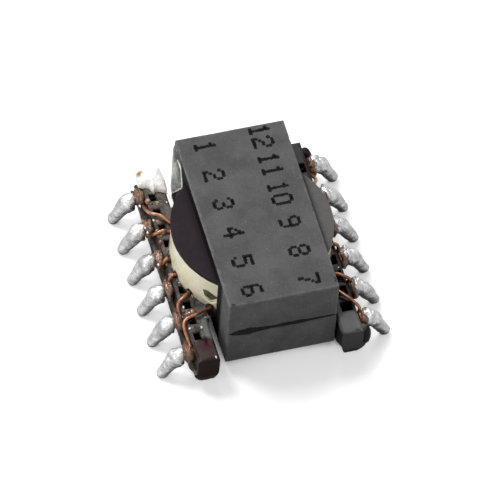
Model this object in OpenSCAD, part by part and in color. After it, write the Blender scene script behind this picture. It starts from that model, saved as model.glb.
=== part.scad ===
// Surface-mount switching transformer with a low round-post ferrite core.
// Two core halves are glued round a coil former that carries two rows of gull-wing terminals.
// Six windings lie one over the other on the former, each a single layer with one lead to
// either row. Millimetres, +Z up from the board plane, +X across the rows, +Y along them.

/* [Core] */
// Length of the ferrite core, along the terminal rows
core_len = 10.85; // [10.2:0.05:11.6]
// Width of the core, across the rows
core_w = 5.8; // [5.4:0.05:6.4]
// Height of the two halves glued together
core_h = 4.84; // [4.6:0.02:5.6]
// Thickness of each half's back plate
plate_t = 0.85; // [0.7:0.05:1]
// Diameter of the round winding window
window_d = 8.85; // [8.6:0.05:9.1]
// Diameter of the centre post
post_d = 4.15; // [3.9:0.05:4.25]
// Air gap ground into the lower half's post
air_gap = 0.12; // [0.05:0.01:0.4]
// Bevel on the outer edges of the ground ferrite
edge_cut = 0.05; // [0.04:0.01:0.15]
// Height of the core's underside over the board
core_lift = 0.68; // [0.6:0.01:1]

/* [Adhesive] */
// Thickness of the film between the halves
glue_t = 0.04; // [0.03:0.01:0.08]
// Height of the bead along the seam at its thin end
bead_h = 0.22; // [0.14:0.02:0.3]
// Extra height of the bead where it has run together
bead_swell = 0.46; // [0.1:0.02:0.6]
// How far the bead stands out of the core's face
bead_out = 0.07; // [0.05:0.01:0.15]

/* [Coil former] */
// Play between the post and the bore, all round
bore_play = 0.23; // [0.12:0.01:0.25]
// Wall of the winding tube
tube_wall = 0.31; // [0.25:0.01:0.35]
// Play between each flange and the core plate
stack_play = 0.04; // [0.02:0.01:0.08]
// Gap left on the tight side, at the post and at the flange rims
seat_gap = 0.04; // [0.02:0.01:0.06]
// Thickness of the upper flange
top_flange_t = 0.2; // [0.16:0.02:0.3]
// Thickness of the lower flange
low_flange_t = 0.68; // [0.5:0.02:0.76]
// Length of the terminal rails
rail_len = 12.4; // [12.1:0.1:13]
// Width of a rail's top
rail_w = 1.12; // [1:0.02:1.3]
// Gap between the core's side and the nearer rail
rail_gap = 0.15; // [0.1:0.01:0.4]
// Height of the rails' underside over the board
rail_lift = 0.42; // [0.3:0.02:0.6]
// Width of the step along the foot of each rail
ledge_w = 0.2; // [0.16:0.01:0.4]
// Bevel on the rails' moulded edges
rail_cut = 0.1; // [0.05:0.01:0.14]
// Length along the rows of the web between flange and rail
web_len = 7.2; // [6.4:0.1:7.6]
// Length of a pocket, along the rail
pocket_len = 0.6; // [0.5:0.02:0.76]
// Width of a pocket, across the rail
pocket_w = 0.6; // [0.5:0.02:0.7]
// Wall between a pocket and the rail's outer face
pocket_wall = 0.16; // [0.12:0.01:0.24]
// Depth of a pocket
pocket_depth = 1.1; // [0.9:0.05:1.3]

/* [Terminals] */
// Pitch of the terminals
pin_pitch = 2; // [1.9:0.05:2]
// Diameter of the terminal wire
pin_d = 0.5; // [0.44:0.01:0.52]
// Depth of the terminals' axis under the rails' top
pin_drop = 0.62; // [0.5:0.01:0.66]
// Length of a terminal held in the rail
pin_hold = 0.75; // [0.6:0.05:0.9]
// Radius of the bend in a terminal's axis
bend_r = 0.4; // [0.36:0.02:0.5]
// Slope of a terminal's leg below the horizontal, in degrees
leg_slope = 60; // [56:1:68]
// Straight stretch of a terminal inside its tin, before the bend
bend_start = 0.05; // [0.04:0.01:0.1]
// How much fatter the wire is in its bend, so that the straight stretches end inside it
bend_fat = 0.006; // [0.004:0.001:0.01]

/* [Solder] */
// Thickest tin round a leg, just past the bend
tin_t = 0.19; // [0.1:0.01:0.22]
// Tin round the toe of a leg
toe_t = 0.05; // [0.02:0.01:0.07]
// How much the toe is flattened on the board plane
toe_flat = 0.05; // [0.03:0.01:0.08]
// Height of the lumps in the tin
tin_lump = 0.03; // [0:0.01:0.04]

/* [Windings] */
// Diameter of the enamelled wire
wire_d = 0.18; // [0.14:0.01:0.19]
// Turns in each layer
turns = 10; // [5:1:10]
// Spacing of the turns in a layer, as a share of the wire
turn_share = 1.03; // [1.01:0.01:1.05]
// Thickness of one wrap of tape
tape_t = 0.05; // [0.03:0.01:0.06]
// Gap between any two layers of wire and tape
layer_gap = 0.006; // [0.004:0.001:0.01]
// Turns of a lead round the root of its terminal
wrap_turns = 1.25; // [0.75:0.25:1.25]
// Gap between a lead and what it runs over or round
lead_gap = 0.02; // [0.015:0.005:0.03]
// Rise of a lead between the coil and its rail
lead_bow = 0.16; // [0.1:0.02:0.4]
// Radius of the bend where a lead leaves its layer
lead_bend = 0.2; // [0.19:0.01:0.24]

/* [Hidden] */
// one winding to each pair of terminals
poles = 6;
wire_sides = 8;
wrap_steps = 10;
curve_steps = 3;
tin_sides = 12;
bead_steps = 28;
$fn = 64;
// angle at which each lead leaves the coil, counted from the other row, left then right row
lead_exits = [[144, 151, 175, 189, 207, 226], [144, 151, 175, 189, 213, 222]];
// where each lead drops over its rail's edge, from its terminal's axis
lead_drops = [[-1.5, -0.9, -0.7, 0.2, 0.55, 1.35], [-1.5, -0.9, -0.7, 0.2, 0.1, 0.35]];

wire_r = wire_d / 2;
pin_r = pin_d / 2;
post_r = post_d / 2;
window_r = window_d / 2;
half_h = (core_h - glue_t) / 2;

// the core is pushed against one side of the former, as far as the play lets it
core_x = bore_play - seat_gap;
core_z = core_lift;
seam_z = core_z + core_h / 2;
window_z0 = core_z + plate_t;
window_z1 = core_z + core_h - plate_t;

bore_r = post_r + bore_play;
tube_r = bore_r + tube_wall;
flange_r = window_r - core_x - seat_gap;
low_z0 = window_z0 + stack_play;
low_z1 = low_z0 + low_flange_t;
top_z1 = window_z1 - stack_play;
top_z0 = top_z1 - top_flange_t;
rail_x0 = core_w / 2 + core_x + rail_gap;
rail_x1 = rail_x0 + rail_w;
rail_z1 = low_z1;
pocket_x = rail_x1 - pocket_wall - pocket_w / 2;

pin_z = rail_z1 - pin_drop;
wrap_r = pin_r + lead_gap + wire_r;
wrap_x = rail_x1 + lead_gap + wire_r;
wrap_pitch = wire_d + lead_gap / 2;
tin_x = wrap_x + wrap_turns * wrap_pitch + wire_r + lead_gap;
ledge_z = pin_z - wrap_r - wire_r - lead_gap;
ledge_x = rail_x1 + ledge_w;
toe_r = pin_r + toe_t;
toe_z = toe_r - toe_flat;
bend_x = tin_x + bend_start;
bend_join = bend_fat * 3;
leg_x = bend_x + bend_r * sin(leg_slope);
leg_z = pin_z - bend_r * (1 - cos(leg_slope));
leg_len = (leg_z - toe_z) / sin(leg_slope);

// the leads cross under the layers in a band next to the lower flange
band_z = low_z1 + lead_gap + wire_r;
layer_z0 = band_z + wire_r + lead_gap;
turn_pitch = wire_d * turn_share;
layer_h = turns * turn_pitch;
layer_step = wire_d + tape_t + 2 * layer_gap;
coil_r = layer_r(poles) + wire_r + layer_gap;

function layer_r(k) = tube_r + layer_gap + wire_r + (k - 1) * layer_step;
function pin_y(k) = ((poles + 1) / 2 - k) * pin_pitch;
function two_digits(n) = str(n < 10 ? "0" : "", n);
function side_sign(row) = row == 0 ? -1 : 1;
function mirrored(p, row) = [side_sign(row) * p.x, p.y, p.z];
function terminal_number(k, row) = row == 0 ? k : 2 * poles + 1 - k;
function turned(n, row, name) = str(name, two_digits(terminal_number(n, row)));

// ---- sweeps ----

function unit(v) = v / norm(v);

// tangent at each point of a path
function tangents(path) = [for (i = [0:len(path) - 1])
    unit(path[min(i + 1, len(path) - 1)] - path[max(i - 1, 0)])];

// one side vector per point, carried along the path without twist
function side_vectors(tans) = [
    for (i = 0, s = unit(cross(tans[0], [0.3, 0.2, 1])); i < len(tans);
         i = i + 1, s = i < len(tans) ? unit(s - (s * tans[i]) * tans[i]) : s) s];

// closed skin over rings of n points, with flat ends; seen along the path, the rings run clockwise
module skin(points, n) {
    count = len(points) / n;
    walls = [for (i = [0:count - 2], j = [0:n - 1])
        let (k = (j + 1) % n)
        each [[i * n + j, i * n + k, (i + 1) * n + k], [i * n + j, (i + 1) * n + k, (i + 1) * n + j]]];
    start = [for (j = [n - 1:-1:0]) j];
    finish = [for (j = [0:n - 1]) (count - 1) * n + j];
    polyhedron(points, concat(walls, [start, finish]), convexity = 6);
}

// round wire along a path, drawn in a little at its start so that it sinks into its layer
module wire_along(path) {
    tans = tangents(path);
    sides = side_vectors(tans);
    points = [for (i = [0:len(path) - 1], j = [0:wire_sides - 1])
        let (a = 360 * j / wire_sides, r = wire_r * (i == 0 ? 0.75 : 1))
        path[i] + r * (cos(a) * sides[i] + sin(a) * cross(sides[i], tans[i]))];
    skin(points, wire_sides);
}

// smooth curve through all points but the first and last, which only set its ends' slope
function smooth(p, steps) = [
    for (i = [1:len(p) - 3], s = [0:steps - 1])
        let (t = s / steps)
        0.5 * (2 * p[i] + t * (p[i + 1] - p[i - 1])
        + t * t * (2 * p[i - 1] - 5 * p[i] + 4 * p[i + 1] - p[i + 2])
        + t * t * t * (3 * p[i] - p[i - 1] - 3 * p[i + 1] + p[i + 2]))];

// ---- ferrite core ----

module core_outline() {
    x = core_w / 2;
    y = core_len / 2;
    polygon([
        [-x + edge_cut, -y], [x - edge_cut, -y], [x, -y + edge_cut], [x, y - edge_cut],
        [x - edge_cut, y], [-x + edge_cut, y], [-x, y - edge_cut], [-x, -y + edge_cut]
    ]);
}

// prism that bevels one long edge, with its own edge on the origin
module bevel(length, cut) {
    rotate([45, 0, 0])
        cube([length, cut * sqrt(2), cut * sqrt(2)], center = true);
}

// one half, back plate down and mating face up
module core_half(post_cut) {
    difference() {
        linear_extrude(half_h) core_outline();
        translate([0, 0, plate_t])
            difference() {
                cylinder(r = window_r, h = half_h);
                cylinder(r = post_r, h = half_h - plate_t - post_cut);
            }
        for (side = [-1, 1]) {
            translate([0, side * core_len / 2, 0]) bevel(core_w * 2, edge_cut);
            translate([side * core_w / 2, 0, 0]) rotate(90) bevel(core_len * 2, edge_cut);
        }
    }
}

module core_lower() {
    color("#474648")
        translate([core_x, 0, core_z])
            core_half(air_gap);
}

module core_upper() {
    color("#59585a")
        translate([core_x, 0, core_z + core_h])
            mirror([0, 0, 1])
                core_half(0);
}

// ---- adhesive ----

// half height of the bead at a place across the core's face, as a share of its width
function bead_half(u) =
    (bead_h + bead_swell * exp(-pow((u + 0.37) / 0.16, 2))
    + bead_h * 0.25 * sin(u * 870) + bead_h * 0.15 * sin(u * 2380 + 60)) / 2;
function bead_taper(t) = pow(sin(180 * t), 0.35);

module seam_bead() {
    span = core_w - 4 * edge_cut;
    arc_steps = 6;
    points = [for (i = [0:bead_steps], j = [0:arc_steps])
        let (t = 0.02 + 0.96 * i / bead_steps)
        let (x = (t - 0.5) * span)
        let (a = 180 * j / arc_steps)
        [x, -bead_out * bead_taper(t) * sin(a), -bead_half(x / core_w) * bead_taper(t) * cos(a)]];
    skin(points, arc_steps + 1);
}

module glue_film() {
    translate([0, 0, -glue_t / 2])
        linear_extrude(glue_t)
            difference() {
                core_outline();
                circle(r = window_r);
                translate([-core_w, 0]) square([2 * core_w, core_len]);
            }
    // the film runs out into the bead
    translate([-core_w * 0.4, -core_len / 2 - bead_out / 3, -glue_t / 2])
        cube([core_w * 0.8, bead_out, glue_t]);
}

module glue_front() {
    color("#0c0b0c")
        translate([core_x, 0, seam_z]) {
            glue_film();
            translate([0, -core_len / 2, 0]) seam_bead();
        }
}

module glue_back() {
    color("#0c0b0c")
        translate([core_x, 0, seam_z])
            rotate(180) {
                glue_film();
                translate([0, -core_len / 2, 0]) seam_bead();
            }
}

// ---- coil former ----

// section of a rail: bevelled top edges, and the step along its outer foot
module rail_section() {
    polygon([
        [rail_x0, rail_lift], [rail_x0, rail_z1 - rail_cut], [rail_x0 + rail_cut, rail_z1],
        [rail_x1 - rail_cut, rail_z1], [rail_x1, rail_z1 - rail_cut], [rail_x1, ledge_z],
        [ledge_x - rail_cut, ledge_z], [ledge_x, ledge_z - rail_cut],
        [ledge_x, rail_lift + rail_cut], [ledge_x - rail_cut, rail_lift]
    ]);
}

module rail() {
    difference() {
        translate([0, rail_len / 2, 0])
            rotate([90, 0, 0])
                linear_extrude(rail_len) rail_section();
        // pockets that held the terminals in the mould, one at either side of each
        for (i = [0:2 * poles - 3])
            translate([pocket_x, (i - poles + 1.5) * pin_pitch / 2, rail_z1])
                cube([pocket_w, pocket_len, 2 * pocket_depth], center = true);
        // bevelled ends
        for (side = [-1, 1])
            translate([0, side * rail_len / 2, rail_z1]) bevel(4 * ledge_x, rail_cut);
    }
}

module coil_former() {
    color("#2b292b")
        difference() {
            union() {
                translate([0, 0, low_z0]) cylinder(r = tube_r, h = top_z1 - low_z0);
                translate([0, 0, top_z0]) cylinder(r = flange_r, h = top_flange_t);
                translate([0, 0, low_z0]) cylinder(r = flange_r, h = low_flange_t);
                for (row = [0, 1])
                    mirror([1 - row, 0, 0]) {
                        rail();
                        web();
                    }
            }
            translate([0, 0, low_z0 - plate_t]) cylinder(r = bore_r, h = core_h);
            for (row = [0, 1], k = [1:poles])
                terminal_body(k, row);
        }
}

// flat web that joins the lower flange to a rail, beside the core
module web() {
    web_x0 = core_w / 2 + core_x + seat_gap;
    translate([web_x0, -web_len / 2, low_z0])
        cube([rail_x0 - web_x0 + rail_cut, web_len, low_flange_t]);
}

// ---- terminals and their tin ----

module terminal_body(k, row) {
    mirror([1 - row, 0, 0])
        translate([0, pin_y(k), 0]) {
            translate([rail_x1 - pin_hold, 0, pin_z])
                rotate([0, 90, 0])
                    cylinder(r = pin_r, h = bend_x - rail_x1 + pin_hold + bend_join);
            translate([bend_x, 0, pin_z - bend_r])
                rotate([-90, 0, 0])
                    rotate([0, 0, -90])
                        rotate_extrude(angle = leg_slope)
                            translate([bend_r, 0]) circle(r = pin_r + bend_fat);
            translate([leg_x, 0, leg_z])
                rotate([0, 90 + leg_slope, 0])
                    translate([0, 0, -bend_join])
                        cylinder(r = pin_r, h = leg_len + bend_join);
        }
}

module terminal(k, row) {
    color("#9a9b9e")
        terminal_body(k, row);
}

// tin round a leg: a string of rings that follows its axis and ends in a round toe
module tin(k, row) {
    seed = 47 * terminal_number(k, row);
    bend_n = 4;
    leg_n = 4;
    toe_n = 3;
    dir = [cos(leg_slope), 0, -sin(leg_slope)];
    leg_start = [leg_x, 0, leg_z];
    bend = [for (i = [0:bend_n]) let (a = leg_slope * i / bend_n)
        [(i == 0 ? tin_x : bend_x) + bend_r * sin(a), 0, pin_z - bend_r * (1 - cos(a))]];
    leg = [for (i = [1:leg_n]) leg_start + dir * leg_len * i / leg_n];
    toe = [for (i = [1:toe_n]) leg[leg_n - 1] + dir * toe_r * sin(80 * i / toe_n)];
    path = concat(bend, leg, toe);
    body_n = bend_n + leg_n;
    points = [for (i = [0:len(path) - 1], j = [0:tin_sides - 1])
        let (
            u = i / body_n,
            full = pin_r + tin_t,
            plain = u < 0.3 ? full - tin_t * 0.55 * (1 - u / 0.3)
                : u < 1 ? full + (toe_r - full) * (u - 0.3) / 0.7
                : toe_r * cos(80 * (i - body_n) / toe_n),
            a = 360 * j / tin_sides,
            lump = u < 1 ? tin_lump * sin(180 * u) * sin(2 * a + seed * 3 + 540 * u) : 0,
            slope = leg_slope * min(1, i / bend_n),
            up = [sin(slope), 0, cos(slope)]
        )
        path[i] + (plain + lump) * (cos(a) * up + sin(a) * [0, 1, 0])];
    mirror([1 - row, 0, 0])
        translate([0, pin_y(k), 0])
            skin(points, tin_sides);
}

module solder(k, row) {
    color("#b9babb")
        difference() {
            tin(k, row);
            terminal_body(k, row);
            // flattened on the board plane
            translate([0, 0, -rail_len]) cube(2 * rail_len, center = true);
        }
}

// ---- windings ----

// one layer of turns, as a ring with a rounded ridge for each turn
module layer(k) {
    rotate_extrude() {
        translate([layer_r(k) - wire_r / 2, layer_z0 + wire_r])
            square([wire_r, layer_h - turn_pitch]);
        for (i = [0:turns - 1])
            translate([layer_r(k), layer_z0 + wire_r + i * turn_pitch])
                circle(r = wire_r, $fn = 24);
    }
}

function polar(r, a, z) = [-r * cos(a), r * sin(a), z];

// route of a lead: down from its layer, out through the band, over the rail and round the root
function lead_path(k, row) =
    let (
        a = 180 - lead_exits[row][k - 1],
        drop = lead_drops[row][k - 1],
        y = pin_y(k),
        r = layer_r(k),
        out_r = coil_r + 2 * tape_t + 2 * layer_gap + wire_d,
        inner = [for (b = [0:30:90])
            polar(r + lead_bend * (1 - cos(b)), a, band_z + lead_bend * (1 - sin(b)))],
        outer = polar(out_r, a, band_z),
        edge = [-wrap_x, y + drop, rail_z1 + wire_r],
        rise = [(polar(out_r, a, 0).x - rail_x1) / 2, (polar(out_r, a, 0).y + edge.y) / 2,
            rail_z1 + wire_r + lead_bow],
        start_a = drop < 0 ? 200 : 60,
        start = [-wrap_x, y + wrap_r * cos(start_a), pin_z + wrap_r * sin(start_a)],
        free = smooth([inner[3], outer, rise, edge, start, start + (start - edge)], curve_steps),
        wraps = [for (i = [0:round(wrap_turns * wrap_steps)])
            let (t = i / wrap_steps, b = start_a + 360 * t)
            [-wrap_x - wrap_pitch * t, y + wrap_r * cos(b), pin_z + wrap_r * sin(b)]]
    )
    [for (p = concat(inner, free, wraps)) row == 0 ? p : mirrored(p, 0)];

module winding(k) {
    color("#b5683c") {
        layer(k);
        for (row = [0, 1])
            wire_along(lead_path(k, row));
    }
}

// ---- tape ----

module ring(r0, r1, z0, z1) {
    h = z1 - z0;
    translate([0, 0, z0])
        difference() {
            cylinder(r = r1, h = h, $fn = 96);
            translate([0, 0, -h / 2]) cylinder(r = r0, h = 2 * h, $fn = 96);
        }
}

module layer_tape(k) {
    r = layer_r(k) + wire_r + layer_gap;
    color("#d9d4a4")
        ring(r, r + tape_t, layer_z0 + wire_r, top_z0 - layer_gap);
}

// two wraps, a lapped end, and a notch where each lead comes out below the edge
module outer_tape() {
    lap = 30;
    r1 = coil_r + 2 * tape_t;
    notch_r = coil_r - layer_step;
    notch_z = low_z1 - layer_step;
    color("#e3dda0")
        difference() {
            union() {
                ring(coil_r, r1, low_z1 + layer_gap, top_z0 - layer_gap);
                translate([0, 0, low_z1 + layer_gap])
                    rotate(lead_exits[0][poles - 1] + 6)
                        rotate_extrude(angle = lap, $fn = 96)
                            translate([r1 - tape_t / 2, 0])
                                square([tape_t * 1.5, top_z0 - low_z1 - 2 * layer_gap]);
            }
            for (row = [0, 1], k = [1:poles])
                mirror([row, 0, 0])
                    rotate(lead_exits[row][k - 1])
                        translate([notch_r, -wire_r - lead_gap, notch_z])
                            cube([3 * layer_step, wire_d + 2 * lead_gap, layer_z0 + wire_r - notch_z]);
        }
}

core_lower();
core_upper();
glue_front();
glue_back();
coil_former();
outer_tape();
for (row = [0, 1], k = [1:poles]) {
    terminal(k, row);
    solder(k, row);
}
for (k = [1:poles])
    winding(k);
for (k = [1:poles - 1])
    layer_tape(k);
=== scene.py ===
"""Looks of a small surface-mount switching transformer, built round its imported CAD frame.

Sizes are in millimetres in the frame's own axes, and are scaled to metres where a mesh is made:
+X runs across the two terminal rows, +Y along them, and +Z up from the board plane.
"""

import math
import random

import bmesh
import bpy
from mathutils import Matrix, Vector, noise


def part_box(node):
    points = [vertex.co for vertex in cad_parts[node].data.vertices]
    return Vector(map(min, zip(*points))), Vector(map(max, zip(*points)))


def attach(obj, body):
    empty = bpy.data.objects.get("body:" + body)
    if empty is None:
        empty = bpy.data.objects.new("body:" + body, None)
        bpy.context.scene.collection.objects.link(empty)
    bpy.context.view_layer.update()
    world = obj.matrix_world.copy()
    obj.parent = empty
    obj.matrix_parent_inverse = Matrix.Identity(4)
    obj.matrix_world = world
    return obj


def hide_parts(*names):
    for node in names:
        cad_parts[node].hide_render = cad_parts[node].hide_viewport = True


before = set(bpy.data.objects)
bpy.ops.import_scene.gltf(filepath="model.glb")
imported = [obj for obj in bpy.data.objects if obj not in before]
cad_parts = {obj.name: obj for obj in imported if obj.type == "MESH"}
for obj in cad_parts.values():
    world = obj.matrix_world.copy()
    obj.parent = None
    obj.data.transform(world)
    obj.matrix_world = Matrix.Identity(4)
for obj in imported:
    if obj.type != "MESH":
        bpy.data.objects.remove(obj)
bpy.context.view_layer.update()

MM = 0.001
POLES = 6
ROWS = (-1, 1)


# ---- places that come from the frame ----


def box_mm(node):
    """Lowest and highest corner of a CAD node, in millimetres."""
    low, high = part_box(node)
    return low / MM, high / MM


CORE_LOW, CORE_HIGH = box_mm("core_lower")[0], box_mm("core_upper")[1]
CORE_MID = (CORE_LOW + CORE_HIGH) / 2
SEAM_Z = sum(corner.z for corner in box_mm("glue_back")) / 2
TAPE_LOW, TAPE_HIGH = box_mm("outer_tape")
FORMER_HIGH = box_mm("coil_former")[1]
PIN_HIGH = box_mm("terminal_01")[1]
FILM_HIGH = box_mm("layer_tape_1")[1]

# sizes of the CAD model that its boxes don't give
WIRE_R = 0.09
PIN_R = 0.25
GAP = 0.02
TAPE_T = 0.05
LAYER_GAP = 0.006
TURNS = 10
RAIL_W = 1.12
LEDGE_W = 0.2
BEND_R = 0.4
LEG_SLOPE = math.radians(60)
TIN_T = 0.19
TOE_R = 0.3
TOE_Z = 0.25
WRAP_TURNS = 1.25
LEAD_BOW = 0.16
LEAD_BEND = 0.2
LEAD_EXITS = {-1: (144, 151, 175, 189, 207, 226), 1: (144, 151, 175, 189, 213, 222)}
LEAD_DROPS = {-1: (-1.5, -0.9, -0.7, 0.2, 0.55, 1.35), 1: (-1.5, -0.9, -0.7, 0.2, 0.1, 0.35)}

# the CAD's pockets with a margin of 0.08 to 0.1, where specks of flux aren't put: reach in from
# the rail's edge, half length as a share of their spacing, and distance from the middle
POCKET_FAR = 0.84
POCKET_NEAR = 0.08
POCKET_HALF = 0.38
POCKETS_END = 4.9

# what only the looks have: thickness of the varnish run, rings and sides of a fine blob
VARNISH_T = 0.2
FINE_BLOB = (14, 22)

# levels and distances that follow from the frame and these sizes
RAIL_X1 = FORMER_HIGH.x - LEDGE_W
RAIL_X0 = RAIL_X1 - RAIL_W
PIN_Z = PIN_HIGH.z - PIN_R
RAIL_Z = TAPE_LOW.z - LAYER_GAP
PITCH = (box_mm("terminal_01")[0].y - box_mm("terminal_06")[0].y) / (POLES - 1)
WRAP_R = PIN_R + GAP + WIRE_R
WRAP_X = RAIL_X1 + GAP + WIRE_R
WRAP_PITCH = 2 * WIRE_R + GAP / 2
BAND_Z = RAIL_Z + GAP + WIRE_R
LAYER_Z = BAND_Z + 2 * WIRE_R + GAP
LAYER_STEP = 2 * WIRE_R + TAPE_T + 2 * LAYER_GAP
FIRST_R = FILM_HIGH.x - TAPE_T - LAYER_GAP - WIRE_R
COIL_R = FIRST_R + (POLES - 1) * LAYER_STEP + WIRE_R + LAYER_GAP
TIN_X = WRAP_X + WRAP_TURNS * WRAP_PITCH + WIRE_R + GAP
BEND_X = TIN_X + 0.05
LEG_X = BEND_X + BEND_R * math.sin(LEG_SLOPE)
LEG_Z = PIN_Z - BEND_R * (1 - math.cos(LEG_SLOPE))


def pin_y(k):
    return ((POLES + 1) / 2 - k) * PITCH


def number_of(k, side):
    return k if side < 0 else 2 * POLES + 1 - k


# ---- mesh helpers ----

RIGHT, LEFT, BACK, UP = (1, 0, 0), (-1, 0, 0), (0, 1, 0), (0, 0, 1)


def noise_at(point, size, seed=0.0):
    """Smooth noise from -1 to 1 with features of about that size, in millimetres."""
    return noise.noise(Vector(point) / size + Vector((seed * 7.31, seed * 3.17, seed * 1.93)))


def add_piece(name, verts, faces, material, slot, replaces=(), sharp=70):
    """Makes a mesh from points in millimetres, and lets it ride with the body."""
    mesh = bpy.data.meshes.new(name)
    mesh.from_pydata([tuple(c * MM for c in v) for v in verts], [], faces)
    return add_mesh(name, mesh, material, replaces, sharp)


def add_mesh(name, mesh, material, replaces, sharp):
    """Makes a piece of a mesh; edges sharper than that many degrees stay hard."""
    bm = bmesh.new()
    bm.from_mesh(mesh)
    bmesh.ops.recalc_face_normals(bm, faces=bm.faces)
    bm.to_mesh(mesh)
    bm.free()
    mesh.shade_smooth()
    mesh.set_sharp_from_angle(angle=math.radians(sharp))
    mesh.materials.clear()
    mesh.materials.append(material)
    piece = bpy.data.objects.new(name, mesh)
    bpy.context.scene.collection.objects.link(piece)
    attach(piece, "root")
    if replaces:
        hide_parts(*replaces)
    return piece


def ring_faces(rings, sides, closed=False):
    """Quads over rings of points, with end faces unless the rings close up."""
    faces = []
    for i in range(rings if closed else rings - 1):
        a, b = i * sides, (i + 1) % rings * sides
        for j in range(sides):
            k = (j + 1) % sides
            faces.append((a + j, a + k, b + k, b + j))
    if not closed:
        faces.append(tuple(range(sides))[::-1])
        faces.append(tuple((rings - 1) * sides + j for j in range(sides)))
    return faces


def tube(path, radius, sides):
    """A round wire along a path; its radius is a number or a function of the share of the way."""
    path = [Vector(p) for p in path]
    last = len(path) - 1
    verts, side = [], None
    for i, point in enumerate(path):
        ahead = (path[min(i + 1, last)] - path[max(i - 1, 0)]).normalized()
        if side is None:
            side = ahead.cross(Vector((0.3, 0.2, 1))).normalized()
        side = (side - side.dot(ahead) * ahead).normalized()
        up = ahead.cross(side)
        r = radius(i / last) if callable(radius) else radius
        for j in range(sides):
            a = math.tau * j / sides
            verts.append(point + r * (math.cos(a) * side + math.sin(a) * up))
    return verts, ring_faces(len(path), sides)


def joined(parts):
    """Several (points, faces) as one."""
    verts, faces = [], []
    for part_verts, part_faces in parts:
        start = len(verts)
        verts.extend(part_verts)
        faces.extend(tuple(start + i for i in face) for face in part_faces)
    return verts, faces


def smooth_curve(points, steps):
    """Catmull-Rom curve through all points but the first and last."""
    p = [Vector(q) for q in points]
    out = []
    for i in range(1, len(p) - 2):
        for s in range(steps):
            t = s / steps
            out.append(0.5 * (2 * p[i] + t * (p[i + 1] - p[i - 1])
                       + t * t * (2 * p[i - 1] - 5 * p[i] + 4 * p[i + 1] - p[i + 2])
                       + t ** 3 * (3 * p[i] - p[i - 1] - 3 * p[i + 1] + p[i + 2])))
    return out


def dome(centre, across, along, normal, outline, height, lump=0.2, seed=0, rings=10, sides=40,
         sink=0.03):
    """A drop that lies on a surface: outline(angle) gives its reach, and noise makes it uneven."""
    centre, across, along, normal = (Vector(v) for v in (centre, across, along, normal))
    verts = []
    for i in range(rings + 1):
        share = i / rings
        for j in range(sides):
            a = math.tau * j / sides
            u, v = outline(a)
            flat = centre + share * (across * u + along * v)
            rise = math.sqrt(max(0.0, 1 - share ** 2.4))
            bumps = 1 + lump * noise_at(flat, 0.22, seed) + lump * noise_at(flat, 0.6, seed + 3)
            verts.append(flat + normal * (height * rise * bumps - (sink if share == 1 else 0)))
    return drop_mesh(verts, rings + 1, sides)


def drop_mesh(verts, rings, sides):
    """Points and faces of a drop: rings of points, of which the first closes to one point."""
    faces = ring_faces(rings, sides)
    top = sum((Vector(v) for v in verts[:sides]), Vector()) / sides
    new_verts = [top] + list(verts[sides:])
    out = []
    for face in faces:
        mapped = []
        for i in face:
            m = 0 if i < sides else i - sides + 1
            if m not in mapped:
                mapped.append(m)
        if len(mapped) > 2:
            out.append(tuple(mapped))
    return new_verts, out


def blob(centre, radii, seed, lump=0.25, rings=9, sides=14):
    """A closed, uneven droplet round a point."""
    centre = Vector(centre)
    verts = []
    for i in range(rings):
        up = math.pi * (i + 0.5) / rings
        for j in range(sides):
            a = math.tau * j / sides
            out = Vector((math.sin(up) * math.cos(a), math.sin(up) * math.sin(a), math.cos(up)))
            swell = 1 + lump * noise_at(out, 0.8, seed) + 0.5 * lump * noise_at(out, 0.35, seed + 2)
            verts.append(centre + Vector([swell * out[n] * radii[n] for n in range(3)]))
    return verts, ring_faces(rings, sides)


def refined(node, bevel, longest, shape):
    """A finer copy of a CAD node's mesh in millimetres: rounded edges, short edges, then shaped."""
    bm = bmesh.new()
    bm.from_mesh(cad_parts[node].data)
    bmesh.ops.scale(bm, vec=(1 / MM,) * 3, verts=bm.verts)
    bmesh.ops.remove_doubles(bm, verts=bm.verts, dist=2e-4)
    bmesh.ops.dissolve_limit(bm, angle_limit=math.radians(1), verts=bm.verts, edges=bm.edges)
    keen = [e for e in bm.edges if len(e.link_faces) == 2 and e.calc_face_angle() > 0.5]
    bmesh.ops.bevel(bm, geom=keen, offset=bevel, segments=2, profile=0.6,
                    affect="EDGES", clamp_overlap=True)
    bmesh.ops.triangulate(bm, faces=bm.faces)
    for _ in range(9):
        long_edges = [e for e in bm.edges if e.calc_length() > longest]
        if not long_edges:
            break
        bmesh.ops.subdivide_edges(bm, edges=long_edges, cuts=1)
        bmesh.ops.triangulate(bm, faces=[f for f in bm.faces if len(f.verts) > 3])
    bm.normal_update()
    moves = [(v, shape(v.co, v.normal)) for v in bm.verts]
    for v, move in moves:
        v.co += move
    bmesh.ops.scale(bm, vec=(MM,) * 3, verts=bm.verts)
    mesh = bpy.data.meshes.new(node + "_fine")
    bm.to_mesh(mesh)
    bm.free()
    return mesh


# ---- material helper ----


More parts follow.
